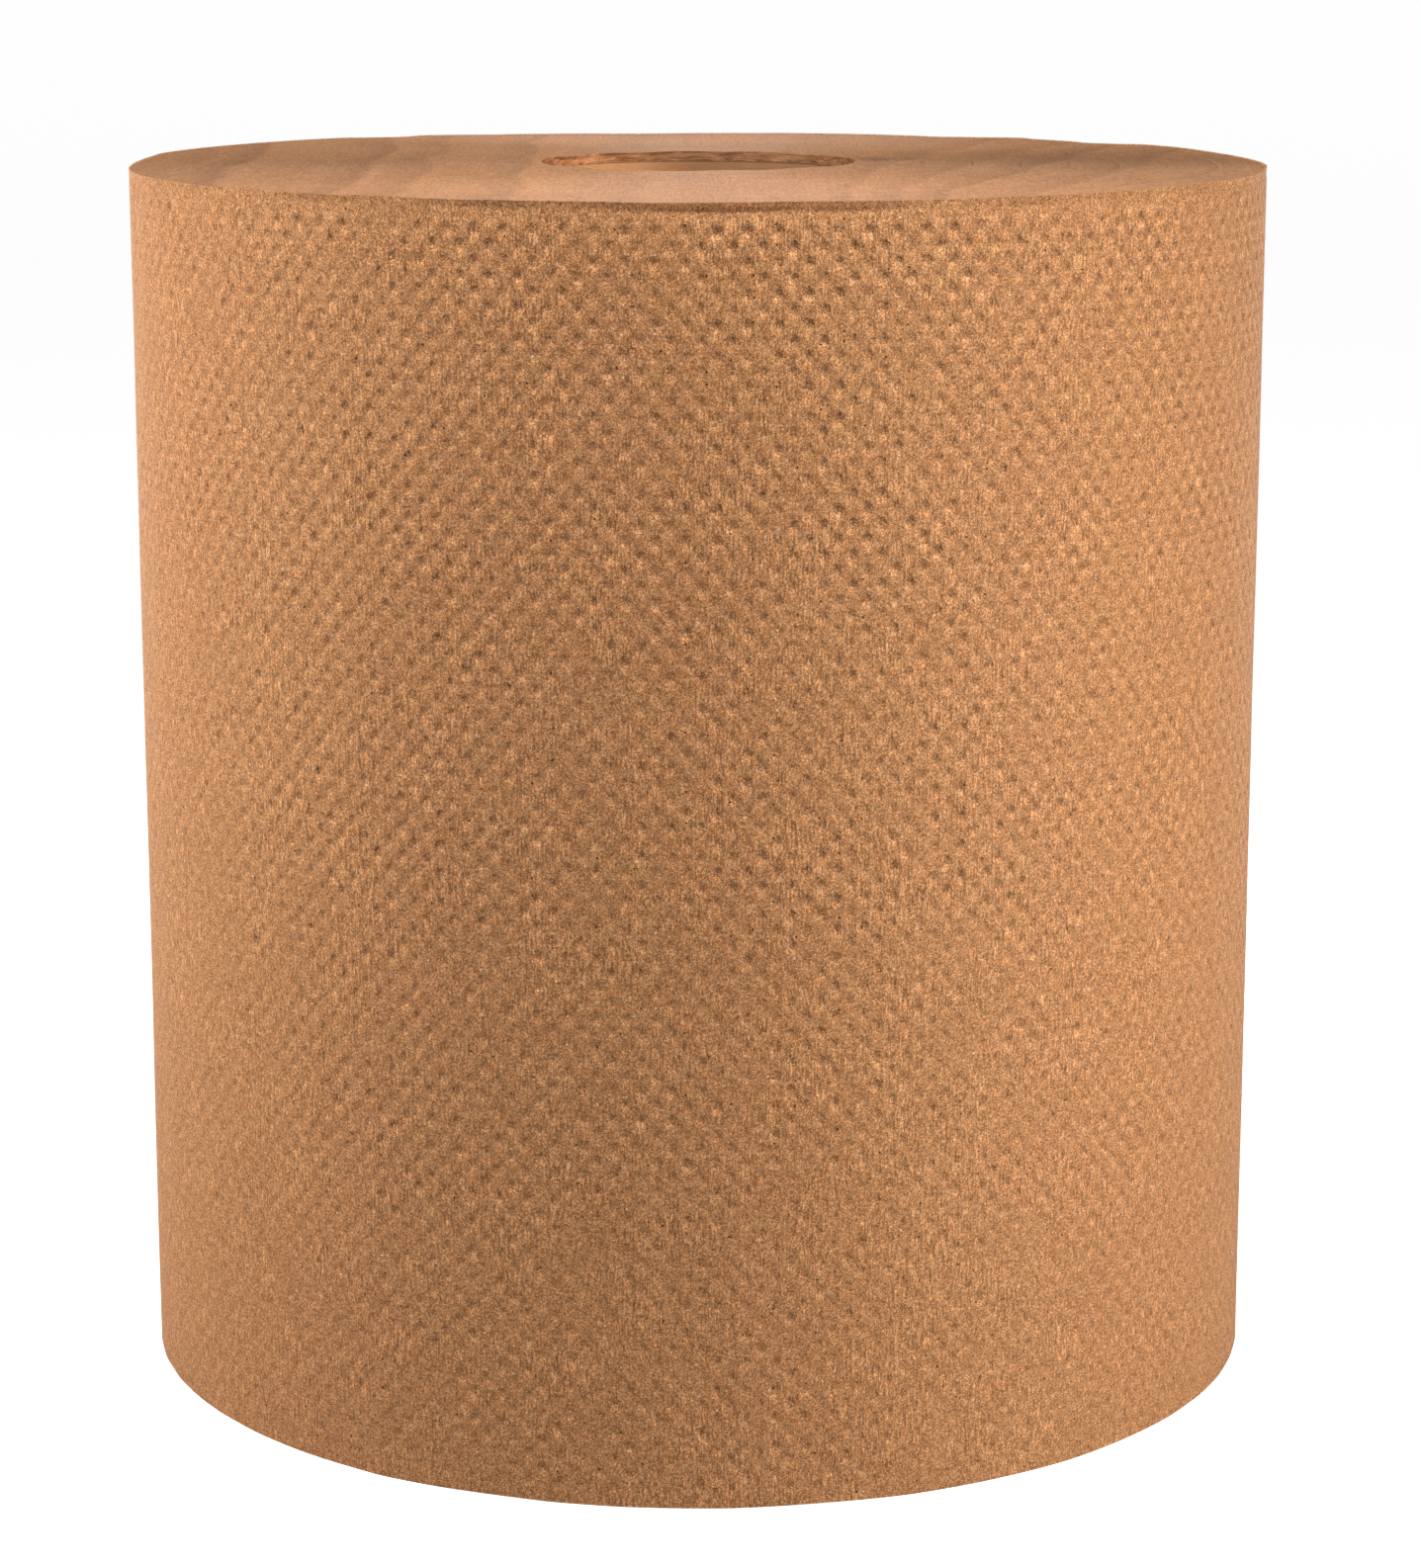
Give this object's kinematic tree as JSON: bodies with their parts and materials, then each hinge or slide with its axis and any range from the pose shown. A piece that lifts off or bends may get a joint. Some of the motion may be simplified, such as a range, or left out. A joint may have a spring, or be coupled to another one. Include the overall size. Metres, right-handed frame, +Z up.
{
  "type": "paper towel roll",
  "caption": "Hardwound roll of brown dimple-embossed paper towel on an open cardboard core tube, standing on its cut end.",
  "frame": {"origin": "centre of the lower cut end, on the roll's axis, where the roll stands", "axes": "+Z up along the roll's axis; the loose end of the paper is at the back, 60 degrees round from +X towards +Y"},
  "size_m": [0.1871, 0.1869, 0.2],
  "materials": {
    "brown_paper": "matt, creped and embossed",
    "core_board": "matt, smooth board"
  },
  "bodies": {
    "root": {"paper_web": "brown_paper", "core_tube": "core_board"}
  },
  "joints": []
}
